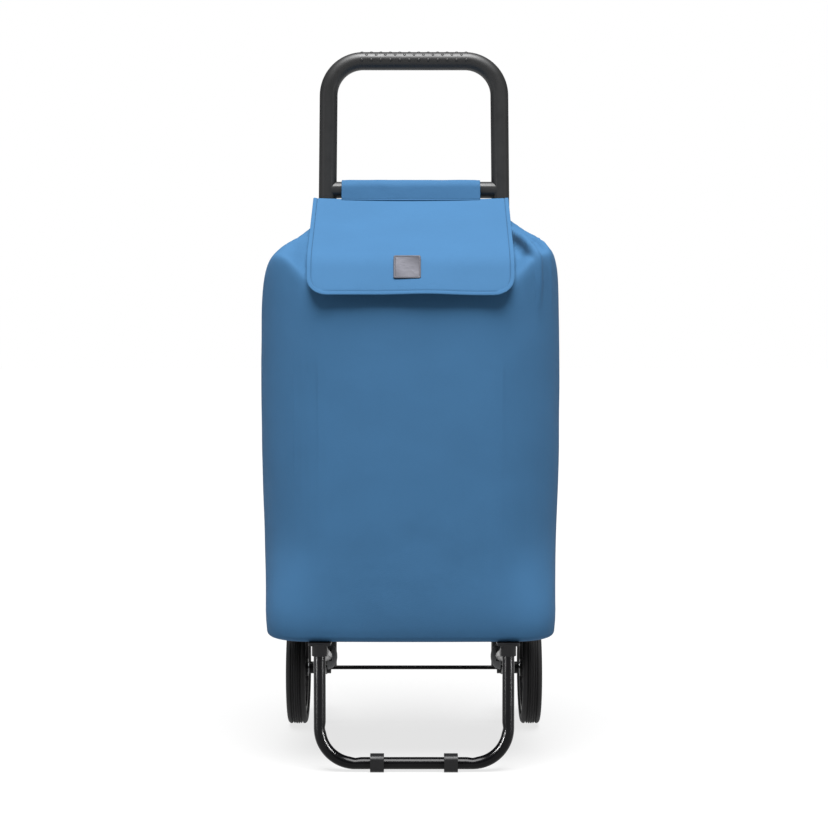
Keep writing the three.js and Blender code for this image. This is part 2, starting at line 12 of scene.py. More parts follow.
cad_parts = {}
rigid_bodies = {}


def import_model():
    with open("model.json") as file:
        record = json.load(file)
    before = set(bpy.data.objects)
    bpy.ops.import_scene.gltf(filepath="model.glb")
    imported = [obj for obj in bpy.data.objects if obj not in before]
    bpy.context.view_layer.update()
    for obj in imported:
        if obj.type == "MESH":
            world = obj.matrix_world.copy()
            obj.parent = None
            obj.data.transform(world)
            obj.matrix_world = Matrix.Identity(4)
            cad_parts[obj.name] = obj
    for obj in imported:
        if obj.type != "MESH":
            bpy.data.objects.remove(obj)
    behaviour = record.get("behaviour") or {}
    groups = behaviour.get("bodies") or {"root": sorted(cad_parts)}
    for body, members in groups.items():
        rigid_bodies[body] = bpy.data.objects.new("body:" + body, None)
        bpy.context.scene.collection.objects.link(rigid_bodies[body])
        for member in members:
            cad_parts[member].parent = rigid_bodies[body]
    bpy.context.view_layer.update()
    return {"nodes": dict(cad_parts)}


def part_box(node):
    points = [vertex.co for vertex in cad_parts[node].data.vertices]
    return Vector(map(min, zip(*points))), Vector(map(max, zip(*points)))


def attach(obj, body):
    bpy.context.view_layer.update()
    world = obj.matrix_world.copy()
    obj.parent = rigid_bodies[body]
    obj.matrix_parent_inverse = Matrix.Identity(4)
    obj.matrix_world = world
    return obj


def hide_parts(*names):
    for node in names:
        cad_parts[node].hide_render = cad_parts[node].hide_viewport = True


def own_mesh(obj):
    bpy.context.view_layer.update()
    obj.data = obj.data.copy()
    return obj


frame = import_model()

UP = Vector((0, 0, 1))
ACROSS = Vector((1, 0, 0))
BACKWARD = Vector((0, 1, 0))


# ---- places, read from the frame ----

def middle(node):
    """The middle of a node's box."""
    low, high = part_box(node)
    return (low + high) / 2


def half_size(node, axis=2):
    """Half of a node's size along an axis."""
    low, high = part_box(node)
    return (high[axis] - low[axis]) / 2


TUBE = middle("rear_tube_right")  # its x and y; the left tube mirrors it
BODY_LOW, BODY_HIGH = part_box("bag_body")
BAG_HALF, BAG_FRONT, BAG_BACK = BODY_HIGH.x, BODY_LOW.y, BODY_HIGH.y
COLLAR_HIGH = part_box("bag_collar")[1]
FLAP_LOW, FLAP_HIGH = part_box("flap")
HANDLE_LOW, HANDLE_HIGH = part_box("handle_loop")
SLEEVE_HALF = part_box("bar_sleeve")[1].x
LEG_LOW, LEG_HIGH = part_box("front_leg")

SLOPE = 0.39  # how far the bag's top and the flap fall for each metre forward
SLOPE_ANGLE = math.atan(SLOPE)
BAR_HEIGHT = HANDLE_LOW.z + 0.042  # the middle of the handle's crossbar
BAG_SHIFT = -0.0045  # the sewn pieces hang a little to one side of the frame


# ---- materials ----

class Graph:
    """A material's node tree, with short calls that add a node and link it."""

    def __init__(self, name, color=(0.5, 0.5, 0.5), roughness=0.5, **sockets):
        self.material = bpy.data.materials.new(name)
        self.material.use_nodes = True
        self.tree = self.material.node_tree
        self.shader = self.tree.nodes["Principled BSDF"]
        self.shader.inputs["Base Color"].default_value = (*color, 1)
        self.shader.inputs["Roughness"].default_value = roughness
        for socket, value in sockets.items():
            self.shader.inputs[socket.replace("_", " ")].default_value = value

    def node(self, kind, inputs=(), **settings):
        made = self.tree.nodes.new("ShaderNode" + kind)
        for key, value in settings.items():
            setattr(made, key, value)
        for socket, value in dict(inputs).items():
            if isinstance(value, bpy.types.NodeSocket):
                self.tree.links.new(value, made.inputs[socket])
            else:
                made.inputs[socket].default_value = value
        return made

    def place(self):
        """Where a point is on the piece itself, in metres."""
        return self.node("TexCoord").outputs["Object"]

    def cloth_place(self):
        """How far along and across the cloth a point is, in metres."""
        return self.node("UVMap", uv_map="cloth").outputs["UV"]

    def noise(self, place, size, detail=2.0, roughness=0.5):
        inputs = {"Vector": place, "Scale": 1 / size, "Detail": detail, "Roughness": roughness}
        return self.node("TexNoise", inputs).outputs["Fac"]

    def stretched(self, place, factors):
        inputs = {0: place, 1: factors}
        return self.node("VectorMath", inputs, operation="MULTIPLY").outputs[0]

    def math(self, operation, first, second=0.0):
        return self.node("Math", {0: first, 1: second}, operation=operation).outputs[0]

    def ramp(self, value, low, high, out_low=0.0, out_high=1.0):
        inputs = {
            "Value": value, "From Min": low, "From Max": high, "To Min": out_low, "To Max": out_high,
        }
        return self.node("MapRange", inputs).outputs["Result"]

    def color(self, factor, first, second):
        inputs = {"Factor": factor, 6: (*first, 1), 7: (*second, 1)}
        made = self.node("Mix", inputs, data_type="RGBA")
        self.tree.links.new(made.outputs[2], self.shader.inputs["Base Color"])
        return made

    def roughness(self, value):
        self.tree.links.new(value, self.shader.inputs["Roughness"])

    def bump(self, *layers):
        """Layers of (height, metres of depth), the finest last."""
        normal = None
        for height, distance in layers:
            inputs = {"Height": height, "Distance": distance, "Strength": 1.0}
            if normal is not None:
                inputs["Normal"] = normal
            normal = self.node("Bump", inputs).outputs["Normal"]
        self.tree.links.new(normal, self.shader.inputs["Normal"])


def shades(color, spread):
    """A darker and a lighter version of a colour."""
    return [tuple(c * factor for c in color) for factor in (1 - spread, 1 + spread)]


def woven(name, color, thread, depth, spread=0.07, roughness=0.8, sheen=0.012):
    """Plain woven cloth: threads over and under each other, slubs, and soft creases."""
    graph = Graph(name, color, roughness)
    graph.shader.inputs["Sheen Weight"].default_value = sheen
    graph.shader.inputs["Sheen Roughness"].default_value = 0.45
    graph.shader.inputs["Specular IOR Level"].default_value = 0.12
    place = graph.cloth_place()
    parts = graph.node("SeparateXYZ", {0: place})
    waves = [
        graph.math("SINE", graph.math("MULTIPLY", parts.outputs[axis], 2 * math.pi / thread))
        for axis in (0, 1)
    ]
    weave = graph.ramp(graph.math("MULTIPLY", *waves), -1, 1)
    slubs = graph.noise(graph.stretched(place, (1, 6, 1)), thread * 5, 3)
    fading = graph.noise(graph.place(), 0.09, 3)
    tone = graph.math("ADD", graph.math("MULTIPLY", slubs, 0.45), graph.math("MULTIPLY", fading, 0.4))
    tone = graph.math("ADD", tone, graph.math("MULTIPLY", weave, 0.15))
    graph.color(graph.ramp(tone, 0.3, 0.7), *shades(color, spread))
    creases = graph.noise(graph.place(), 0.05, 2, 0.5)
    graph.bump((creases, 0.0010), (slubs, depth), (weave, depth))
    return graph.material


def moulded(name, color, roughness, grain, depth, spread=0.08, specular=0.35):
    """Moulded plastic with a fine spark-eroded grain and faint handling marks."""
    graph = Graph(name, color, roughness, Specular_IOR_Level=specular)
    place = graph.place()
    speckle = graph.noise(place, grain, 2)
    marks = graph.noise(place, 0.05, 4, 0.65)
    graph.color(graph.ramp(marks, 0.3, 0.7), *shades(color, spread))
    graph.roughness(graph.ramp(marks, 0.3, 0.7, roughness - 0.07, roughness + 0.07))
    graph.bump((marks, 0.0003), (speckle, depth))
    return graph.material


def lacquered(name, color, roughness):
    """Powder-coated steel: glossy, with a slight orange peel and a trace of dust."""
    graph = Graph(name, color, roughness, Specular_IOR_Level=0.12)
    place = graph.place()
    peel = graph.noise(place, 0.004, 1)
    dust = graph.noise(place, 0.06, 4, 0.6)
    graph.color(graph.ramp(dust, 0.35, 0.75), color, tuple(c * 1.6 for c in color))
    graph.roughness(graph.ramp(dust, 0.3, 0.8, roughness, roughness + 0.06))
    graph.bump((peel, 0.000012))
    return graph.material


def plated(name, color, roughness, brushed_along):
    """Bare metal, brushed or drawn along one direction."""
    graph = Graph(name, color, roughness, Metallic=1.0)
    factors = [1 if axis == brushed_along else 14 for axis in range(3)]
    strokes = graph.noise(graph.stretched(graph.place(), factors), 0.01, 4, 0.7)
    graph.color(graph.ramp(strokes, 0.3, 0.7), *shades(color, 0.16))
    graph.roughness(graph.ramp(strokes, 0.3, 0.7, roughness - 0.08, roughness + 0.12))
    graph.bump((strokes, 0.00005))
    return graph.material


def rubber(name, color):
    """Tyre rubber: dull, finely pored and unevenly dusty."""
    graph = Graph(name, color, 0.75, Specular_IOR_Level=0.3)
    place = graph.place()
    dust = graph.noise(place, 0.02, 5, 0.7)
    pores = graph.noise(place, 0.0009, 2)
    graph.color(graph.ramp(dust, 0.4, 0.75), color, tuple(c * 1.8 for c in color))
    graph.roughness(graph.ramp(dust, 0.3, 0.8, 0.6, 0.85))
    graph.bump((dust, 0.0003), (pores, 0.00012))
    return graph.material


BLUE = (0.0270, 0.0860, 0.173)
DARK_BLUE = tuple(c * 0.55 for c in BLUE)
cloth = woven("blue_cloth", BLUE, thread=0.0009, depth=0.00012)
thread_blue = woven("blue_thread", DARK_BLUE, 0.0006, 0.00005, sheen=0.05)
webbing = woven("black_webbing", (0.012, 0.012, 0.014), 0.0018, 0.0003, spread=0.25, sheen=0.05)
black_cloth = woven("black_cloth", (0.010, 0.010, 0.012), 0.0009, 0.00012, spread=0.2, sheen=0.05)
handle_plastic = moulded("handle_plastic", (0.0125, 0.0127, 0.013), 0.45, 0.0007, 0.00005)
black_plastic = moulded("black_plastic", (0.006, 0.006, 0.0065), 0.42, 0.0008, 0.00006, specular=0.2)
grey_plastic = moulded("grey_plastic", (0.055, 0.057, 0.060), 0.6, 0.0022, 0.0006, spread=0.2)
black_steel = lacquered("black_steel", (0.0003, 0.0003, 0.0004), 0.20)
zinc = plated("zinc", (0.42, 0.43, 0.44), 0.34, brushed_along=0)
label_metal = plated("label_metal", (0.042, 0.042, 0.048), 0.55, brushed_along=0)
tyre_rubber = rubber("tyre_rubber", (0.008, 0.008, 0.0085))


# ---- meshes ----

def mesh_object(name, points, faces, material, loop_uv=None):
    """A smooth piece in the scene; loop_uv holds a place on the cloth for each face corner."""
    mesh = bpy.data.meshes.new(name)
    mesh.from_pydata([tuple(p) for p in points], [], faces)
    mesh.materials.append(material)
    if loop_uv is not None:
        mesh.uv_layers.new(name="cloth").data.foreach_set("uv", np.asarray(loop_uv, float).ravel())
    mesh.shade_smooth()
    piece = bpy.data.objects.new(name, mesh)
    bpy.context.scene.collection.objects.link(piece)
    return piece


def running(points, closed=False):
    """Distance along a line of points, from 0; a closed line ends back at its first point."""
    line = np.vstack([points, points[:1]]) if closed else np.asarray(points)
    return np.concatenate([[0], np.cumsum(np.linalg.norm(np.diff(line, axis=0), axis=1))])


def resampled(points, count, closed=False):
    """That many points, evenly spaced along a line; a closed line isn't ended twice."""
    line = np.vstack([points, points[:1]]) if closed else np.asarray(points, float)
    reached = running(points, closed)
    wanted = np.linspace(0, reached[-1], count, endpoint=not closed)
    return np.stack([np.interp(wanted, reached, axis) for axis in line.T], axis=1)


def grid(name, points, material, around=False):
    """A sheet of quads through points[row, column]; around closes each row into a ring.
    Its UV map "cloth" holds metres across and along the sheet."""
    points = np.asarray(points, float)
    rows, columns = points.shape[:2]
    across = running(points[rows // 2], around)
    along = running(points[:, 0])
    faces, uv = [], []
    for i in range(rows - 1):
        for j in range(columns if around else columns - 1):
            k = (j + 1) % columns
            faces.append([i * columns + j, i * columns + k, (i + 1) * columns + k, (i + 1) * columns + j])
            uv += [
                (across[j], along[i]), (across[j + 1], along[i]),
                (across[j + 1], along[i + 1]), (across[j], along[i + 1]),
            ]
    return mesh_object(name, points.reshape(-1, 3), faces, material, uv)


def modifier(piece, kind, **settings):
    """Adds a modifier of that kind, set as given."""
    made = piece.modifiers.new(kind.lower(), kind)
    for key, value in settings.items():
        setattr(made, key, value)


def thickened(piece, thickness, offset=-1.0):
    """Gives a sheet its thickness: inwards, or to both sides of it where offset is 0."""
    modifier(piece, "SOLIDIFY", thickness=thickness, offset=offset, use_even_offset=True)


def arc(u, v, radius, start, end, steps):
    """Points (u, v) of an arc; the angles are in degrees and both ends are included."""
    angles = np.radians(np.linspace(start, end, steps + 1))
    return [(u + radius * math.cos(a), v + radius * math.sin(a)) for a in angles]


def ringed(first, count, sides, capped=True):
    """Faces that join rings of points one to the next, numbered from first, with end caps."""
    last = first + (count - 1) * sides
    faces = []
    for a in range(first, last, sides):
        for k in range(sides):
            n = (k + 1) % sides
            faces.append([a + k, a + n, a + n + sides, a + k + sides])
    if capped:
        faces += [list(range(first, first + sides))[::-1], list(range(last, last + sides))]
    return faces


def swept(name, line, radius, material, normal=UP, sides=24, closed=False, dent=None):
    """A round rod along a flat line whose plane has that normal. dent(place, angle) changes its
    radius, where place is the share of the length and angle is 0 on the side square to normal."""
    line = [Vector(p) for p in line]
    shares = running(np.array([tuple(p) for p in line]))
    shares = shares / shares[-1]
    points = []
    for i, point in enumerate(line):
        before = line[i - 1] if i or closed else point
        after = line[(i + 1) % len(line)] if closed or i + 1 < len(line) else point
        side = (after - before).normalized().cross(normal)
        for k in range(sides):
            angle = 2 * math.pi * k / sides
            here = radius + (dent(shares[i], angle) if dent else 0)
            points.append(point + here * (math.cos(angle) * side + math.sin(angle) * normal))
    faces = ringed(0, len(line), sides, capped=not closed)
    if closed:
        last = len(points) - sides
        faces += [[last + k, last + (k + 1) % sides, (k + 1) % sides, k] for k in range(sides)]
    return mesh_object(name, points, faces, material)


def lathed(name, profile, centre, direction, material, segments=72):
    """A profile of (radius, height) turned about the line through centre along direction."""
    turn = Vector(direction).to_track_quat("Z", "Y")
    angles = [2 * math.pi * k / segments for k in range(segments)]
    points = [
        Vector(centre) + turn @ Vector((r * math.cos(a), r * math.sin(a), h))
        for r, h in profile for a in angles
    ]
    ends_apart = (Vector(profile[0]) - Vector(profile[-1])).length > 1e-6
    faces = ringed(0, len(profile), segments, capped=ends_apart)
    piece = mesh_object(name, points, faces, material)
    piece.data.validate()
    return piece


def settled(piece):
    """The piece with its modifiers worked into its mesh."""
    bpy.context.view_layer.update()
    shape = piece.evaluated_get(bpy.context.evaluated_depsgraph_get())
    mesh = bpy.data.meshes.new_from_object(shape)
    piece.modifiers.clear()
    piece.data = mesh
    return piece


def carved(name, base, added, removed):
    """base with some solids added and others cut away, as one mesh."""
    for operation, tools in (("UNION", added), ("DIFFERENCE", removed)):
        for tool in tools:
            modifier(base, "BOOLEAN", operation=operation, object=tool, solver="EXACT")
    settled(base)
    base.name = name
    for tool in [*added, *removed]:
        bpy.data.objects.remove(tool)
    return base


def shaded_by_angle(piece, degrees=35):
    """Smooth, but with a crisp edge wherever two faces meet at more than that angle."""
    piece.data.shade_smooth()
    piece.data.set_sharp_from_angle(angle=math.radians(degrees))
    return piece


def stitching(name, line, normals, material, pitch=0.0034, length=0.0026, radius=0.0004):
    """A row of sewn stitches: a rounded bead of thread at each step along a line on the cloth."""
    sides = 6
    stations = ((-0.5, 0.35), (-0.3, 1.0), (0.3, 1.0), (0.5, 0.35))  # share of length, of radius
    count = max(2, int(running(line)[-1] / pitch))
    centres = resampled(line, count)
    nearest = np.linspace(0, len(normals) - 1, count)
    points, faces = [], []
    for i, centre in enumerate(centres):
        along = Vector(centres[min(i + 1, count - 1)] - centres[max(i - 1, 0)]).normalized()
        out = Vector(normals[int(round(nearest[i]))]).normalized()
        side = along.cross(out)
        first = len(points)
        bead = Vector(centre) + out * radius * 0.4
        for place, size in stations:
            for k in range(sides):
                angle = 2 * math.pi * k / sides
                ring = math.cos(angle) * side + math.sin(angle) * out
                points.append(bead + along * length * place + ring * radius * size)
        faces += ringed(first, len(stations), sides)
    return mesh_object(name, points, faces, material, [(0, 0)] * sum(len(f) for f in faces))


def ripple(point, size, seed=0.0):
    """Smooth noise from about -1 to 1 at a point."""
    return noise.noise(Vector(point) / size + Vector((seed, 0.5 * seed, -seed)))


# ---- the bag ----

COLUMNS = 400  # round the bag, from the middle of its back
FOOT_ROWS, WALL_ROWS, TOP_ROWS = 6, 36, 40
FIRST_SOFT_ROW = 34  # from here up, the rows are averaged with each other
BACK_CORNER, FRONT_CORNER = 0.048, 0.100
FOOT_CORNER, FOOT_BLEND = 0.052, 0.14  # the front corners are squarer near the bag's foot
BOTTOM_ROUNDING = 0.007
BAG_FOOT = BODY_LOW.z - 0.0015
CROWN = 0.004  # how far the filled bag's front stands out in the middle
MOUTH_HALF, MOUTH_CORNER = 0.112, 0.042


def smooth(share):
    """From 0 to 1 with a soft start and end."""
    share = np.clip(share, 0, 1)
    return share * share * (3 - 2 * share)


def soft_least(values, softness=0.006):
    """The least of some values, rounded off where two of them meet."""
    return -softness * np.log(sum(np.exp(-v / softness) for v in values))


def rounded_outline(half, front, back, back_corner, front_corner):
    """Points round a rounded rectangle in plan, evenly spaced, from the middle of its back."""
    corners = [
        (half - back_corner, back - back_corner, back_corner, 90, 0),
        (half - front_corner, front + front_corner, front_corner, 0, -90),
        (-half + front_corner, front + front_corner, front_corner, -90, -180),
        (-half + back_corner, back - back_corner, back_corner, 180, 90),
    ]
    line = [(0, back)]
    for u, v, radius, start, end in corners:
        line += arc(u, v, radius, start, end, 14)
    return resampled(np.array(line), COLUMNS, closed=True)


def filled_outline(front_corner):
    """The bag in plan, with the middle of its front and sides pushed out as a filled bag's are."""
    x, y = rounded_outline(BAG_HALF, BAG_FRONT, BAG_BACK, BACK_CORNER, front_corner).T
    depth = (BAG_BACK - BAG_FRONT) / 2
    forward = (y - (BAG_FRONT + BAG_BACK) / 2) / depth
    bulge_y = np.cos(np.pi / 2 * np.clip(x / BAG_HALF, -1, 1)) * np.clip(-forward, 0, 1) ** 3
    bulge_x = np.cos(np.pi / 2 * np.clip(forward, -1, 1)) * np.clip(np.abs(x) / BAG_HALF, 0, 1) ** 3
    return np.stack([x + np.sign(x) * bulge_x * CROWN * 0.4, y - bulge_y * CROWN], axis=1)


def top_height(x, y):
    """Height of the bag's top over a point in plan: a slope that rounds over at the front and
    falls away to the shoulders at the sides. The right shoulder stands a little fuller, and
    both stand up beside the flap."""
    right = smooth(x / 0.10)
    radius = 0.090 - 0.015 * right
    start = 0.637 + 0.020 * right  # where a side wall begins to turn in over its shoulder
    arc_end = math.radians(44)  # past here a shoulder runs on straight
    bend_x = BAG_HALF - radius
    edge_x = bend_x + radius * math.cos(arc_end)
    edge_z = start + radius * math.sin(arc_end)
    inside = np.clip(1 - ((np.abs(x) - bend_x) / radius) ** 2, 0, 1)
    side = np.where(
        np.abs(x) < edge_x,
        edge_z + (edge_x - np.abs(x)) / math.tan(arc_end),
        start + radius * np.sqrt(inside),
    )

    beside_flap = smooth((np.abs(x) - 0.134) / 0.030)
    forward = smooth((BAG_BACK - 0.03 - y) / 0.14)
    full = 0.016 * beside_flap * forward
    slope = COLLAR_HIGH.z + (y - BAG_BACK) * SLOPE + full

    nose = 0.060  # the radius of the rounding at the front
    bend_y = BAG_FRONT + nose
    bend_z = COLLAR_HIGH.z + (bend_y - BAG_BACK) * SLOPE - nose / math.cos(SLOPE_ANGLE) + full
    drop = np.clip(1 - ((y - bend_y) / nose) ** 2, 0, 1)
    far_above = 10.0
    front = np.where(y < bend_y, bend_z + nose * np.sqrt(drop), far_above)
    return soft_least([slope, side, front])


def wall_row(full, foot, inset, z):
    """One row of the walls at the heights z. Towards its foot the bag is drawn in and squarer,
    and its front swells in the middle and lies back under the flap."""
    height = z - BAG_FOOT
    drawn_in = 0.0075 * (1 - np.clip(height / 0.25, 0, 1))
    tuck = np.clip(1 - height / 0.045, 0, 1) ** 2
    line = full + (foot - full) * smooth(1 - height / FOOT_BLEND)[:, None]
    sideways = np.abs(line[:, 0]) / BAG_HALF
    line[:, 0] *= 1 - (inset + drawn_in + 0.002 * tuck * sideways ** 4) / BAG_HALF
    shrink = (inset + 0.0060 * tuck) / (BAG_BACK - BAG_FRONT)
    line[:, 1] = BAG_BACK + (line[:, 1] - BAG_BACK) * (1 - shrink)
    swell = 0.006 * np.sin(np.pi * np.clip((z - 0.20) / 0.42, 0, 1))
    under_flap = 0.003 * smooth((z - 0.57) / 0.06)
    in_front = np.where(line[:, 1] < BAG_FRONT + 0.1, 1.0, 0.0)
    outward = in_front * np.cos(np.pi / 2 * line[:, 0] / BAG_HALF)
    line[:, 1] -= (swell - under_flap) * np.clip(outward, 0, 1)
    return np.column_stack([line, z])


def shell_points():
    """The bag's outer face: rows from its bottom edge up the walls and in to the mouth."""
    full = filled_outline(FRONT_CORNER)
    foot = filled_outline(FOOT_CORNER)
    mouth = rounded_outline(
        MOUTH_HALF, BAG_FRONT + 0.064, BAG_BACK - 0.052, MOUTH_CORNER, MOUTH_CORNER,
    )
    points = []
    for angle in np.radians(np.linspace(0, 90, FOOT_ROWS)):  # the rounding at the bottom
        inset = BOTTOM_ROUNDING * (1 - math.sin(angle))
        z = BAG_FOOT + BOTTOM_ROUNDING * (1 - math.cos(angle))
        points.append(wall_row(full, foot, inset, np.full(COLUMNS, z)))
    wall_start = BAG_FOOT + BOTTOM_ROUNDING
    wall_top = top_height(full[:, 0], full[:, 1])
    for share in np.linspace(0, 1, WALL_ROWS)[1:]:
        points.append(wall_row(full, foot, 0.0, wall_start + (wall_top - wall_start) * share))
    for share in np.linspace(0, 1, TOP_ROWS + 1)[1:] ** 1.5:  # over the top, in to the mouth
        line = full + (mouth - full) * share
        points.append(np.column_stack([line, top_height(line[:, 0], line[:, 1])]))
    return np.array(points)


def relaxed(points, first, last, times):
    """Rows first to last averaged with their neighbours; the other rows hold still."""
    for _ in range(times):
        inner = points[first:last + 1]
        around = np.roll(inner, 1, axis=1) + np.roll(inner, -1, axis=1)
        beside = points[first - 1:last] + points[first + 1:last + 2]
        points[first:last + 1] = 0.4 * inner + 0.15 * (around + beside)
    return points


def normals_of(points):
    """Which way is out at each point of the shell."""
    around = np.roll(points, -1, axis=1) - np.roll(points, 1, axis=1)
    up = np.gradient(points, axis=0)
    normal = np.cross(around, up)
    return normal / np.maximum(np.linalg.norm(normal, axis=2, keepdims=True), 1e-9)


# Folds over the shoulders, as lines in plan: where each starts and ends, as x and how far it is
# in front of the bag's back, then its half width and its depth (a ridge is negative).
FOLDS = (
    ((0.132, 0.076), (0.1720, 0.238), 0.0036, 0.0120),
    ((0.150, 0.090), (0.1800, 0.215), 0.0060, -0.0035),
    ((0.163, 0.135), (0.1900, 0.215), 0.0034, 0.0040),
    ((0.128, 0.120), (0.1560, 0.225), 0.0060, -0.0030),
    ((-0.138, 0.085), (-0.1560, 0.130), 0.0036, 0.0036),
)


def fold_strength(points, start, end, half_width):
    """From 0 to 1: how close each point is, in plan, to a fold's line, which fades at its ends."""
    start = np.array([start[0], BAG_BACK - start[1]])
    end = np.array([end[0], BAG_BACK - end[1]])
    line = end - start
    length = np.linalg.norm(line)
    away = points[:, :, :2] - start
    along = away @ line / length
    across = (away[:, :, 0] * line[1] - away[:, :, 1] * line[0]) / length
    fade = smooth(along / 0.025) * smooth((length - along) / 0.035)
    return np.exp(-(across / half_width) ** 2) * fade


def gathered(points):
    """Pleats that run from the drawn-in mouth out over the shoulders, deepest at the right."""
    normal = normals_of(points)
    rows, columns = points.shape[:2]
    share = np.arange(columns) / columns
    pleats = 23  # round the mouth, unevenly spaced
    phase = 2 * math.pi * (pleats * share + 0.35 * np.sin(2 * math.pi * 3 * share + 1.2)
                           + 0.22 * np.sin(2 * math.pi * 7 * share + 0.4))
    ridges = np.abs(np.sin(phase)) ** 0.6 - 0.6
    uneven = 0.7 + 0.3 * np.sin(2 * math.pi * (5 * share + 0.1))
    right = 0.5 + 0.5 * np.clip(points[:, :, 0] / 0.1, -1, 1)
    reach = np.clip((points[:, :, 2] - 0.655) / 0.05, 0, 1)
    over_top = np.zeros((rows, 1))
    over_top[-TOP_ROWS:, 0] = np.linspace(0, 1, TOP_ROWS)
    depth = (0.0006 + 0.0030 * over_top) * reach * (0.3 + 0.7 * right)
    points = points + normal * (depth * uneven * ridges)[:, :, None]
    on_top = smooth((points[:, :, 2] - 0.60) / 0.05)
    for start, end, half_width, deep in FOLDS:
        strength = fold_strength(points, start, end, half_width) * on_top
        points = points - normal * (deep * strength)[:, :, None]
    return points


def creased(points):
    """Broad, shallow unevenness of the cloth between its seams."""
    normal = normals_of(points)
    for i in range(points.shape[0] - 3):
        for j in range(points.shape[1]):
            x, y, z = points[i, j]
            slow = ripple((x, y, z * 0.6), 0.12, 3.1) * 0.0014 + ripple((x, y, z), 0.05, 7.7) * 0.0005
            points[i, j] += normal[i, j] * slow * min(1.0, max(0.0, (z - BODY_LOW.z) / 0.03))
    return points


def turned_in(rim):
    """The hem of the mouth: rows that go in from its rim and down inside the bag."""
    towards = (rim.mean(axis=0) - rim) * [1, 1, 0]
    towards /= np.linalg.norm(towards, axis=1, keepdims=True)
    places = ((0.0035, 0.0012), (0.0055, 0.005), (0.0050, 0.012), (0.0042, 0.020))
    return np.array([rim + towards * inward - [0, 0, down] for inward, down in places])


def bag():
    """The shell, the piping round its foot, the panel and the board in its base, a back seam."""
    points = shell_points()
    points = relaxed(points, FIRST_SOFT_ROW, len(points) - 2, 40)
    points = creased(gathered(points))
    points = np.concatenate([points, turned_in(points[-1])])
    shell = grid("bag_shell", points, cloth, around=True)
    thickened(shell, 0.0014)
    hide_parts("bag_body", "bag_collar")

    bottom = points[0] * [0.996, 1, 1]
    bottom[:, 2] = BAG_FOOT + 0.0002
    piping = swept("bag_piping", bottom, 0.0019, black_cloth, sides=10, closed=True)

    return [shell, piping, *bag_floor(bottom), bag_back_seam(points)]


def bag_floor(outline):
    """The black panel under the bag and the board that stiffens it inside."""
    board_z = middle("base_stiffener").z
    centre = outline.mean(axis=0)
    made = []
    for name, node, slot, material, edge, z, thickness in (
        ("bag_floor", "bag_base_panel", "black_cloth", black_cloth, 1.0, BAG_FOOT - 0.0004, 0.0012),
        ("bag_stiffener", "base_stiffener", "black_plastic", black_plastic, 0.93, board_z, 0.002),
    ):
        rings = []
        for share in np.linspace(0.0, 1.0, 12):
            ring = centre + (outline - centre) * edge * (1 - 0.985 * share)
            ring[:, 2] = z
            rings.append(ring)
        panel = grid(name, np.array(rings), material, around=True)
        thickened(panel, thickness, offset=0.0)
        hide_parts(node)
        made.append(panel)
    return made


def bag_back_seam(points):
    """The stitched seam down the middle of the bag's back, short of its foot and its top."""
    line = points[FOOT_ROWS + 2:FOOT_ROWS + WALL_ROWS - 4, 0]
    normals = np.tile([0, 1, 0], (len(line), 1))
    return stitching("bag_back_stitching", line, normals, thread_blue)


# ---- the flap ----

SEAM = Vector((0, -0.0175 + TUBE.y, FLAP_HIGH.z))  # where the sleeve is sewn to the flap
FLAP_TOP = SEAM + Vector((0, 0.004, 0.004 * SLOPE - 0.001))
FLAP_HALF_TOP, FLAP_HALF_BOTTOM, FLAP_CORNER = 0.1415, 0.1365, 0.028
HEM = 0.0062  # how far in from the flap's edge its hem is sewn


def flap_profile():
    """The flap's outer face in the side view: down the slope, round a bend and down the front."""
    drop = math.radians(57)
    bend_radius = 0.055
    corner_y = FLAP_LOW.y + 0.0235  # where the slope would meet the drop if the cloth were creased
    back = bend_radius * math.tan((drop - SLOPE_ANGLE) / 2) * math.cos(SLOPE_ANGLE)
    bend = (corner_y + back, FLAP_TOP.z + (corner_y + back - FLAP_TOP.y) * SLOPE)
    centre = (
        bend[0] + bend_radius * math.sin(SLOPE_ANGLE), bend[1] - bend_radius * math.cos(SLOPE_ANGLE),
    )
    line = [(FLAP_TOP.y, FLAP_TOP.z), *arc(*centre, bend_radius, 90 + math.degrees(SLOPE_ANGLE), 150, 12)]
    y, z = line[-1]
    end_z = FLAP_LOW.z - 0.0025
    line.append((y - (z - end_z) / math.tan(drop), end_z))
    return np.array(line)


FLAP_LINE = flap_profile()
FLAP_RUN = running(FLAP_LINE)
FLAP_LENGTH = FLAP_RUN[-1]
CORNER_RUN = FLAP_LENGTH - FLAP_CORNER  # where the two rounded corners start, down the flap
CORNER_X = FLAP_HALF_BOTTOM - FLAP_CORNER


def straight_half(run):
    """Half the flap's width at a distance down it, if its corners were square."""
    return FLAP_HALF_TOP + (FLAP_HALF_BOTTOM - FLAP_HALF_TOP) * run / FLAP_LENGTH


def flap_half(run):
    """Half the flap's width at a distance down it, with its two lower corners rounded off."""
    past = max(0.0, run - CORNER_RUN) / FLAP_CORNER
    return straight_half(run) - FLAP_CORNER * (1 - math.sqrt(max(0.0, 1 - past * past)))


def flap_edge_distance(x, run):
    """How far a point of the flap is from its nearest hemmed edge."""
    if abs(x) > CORNER_X and run > CORNER_RUN:
        return FLAP_CORNER - math.hypot(abs(x) - CORNER_X, run - CORNER_RUN)
    return min(straight_half(run) - abs(x), FLAP_LENGTH - run)


def flap_place(run):
    """Where the flap's face is in the side view, as y and z, at a distance down it."""
    return np.array([np.interp(run, FLAP_RUN, axis) for axis in FLAP_LINE.T])


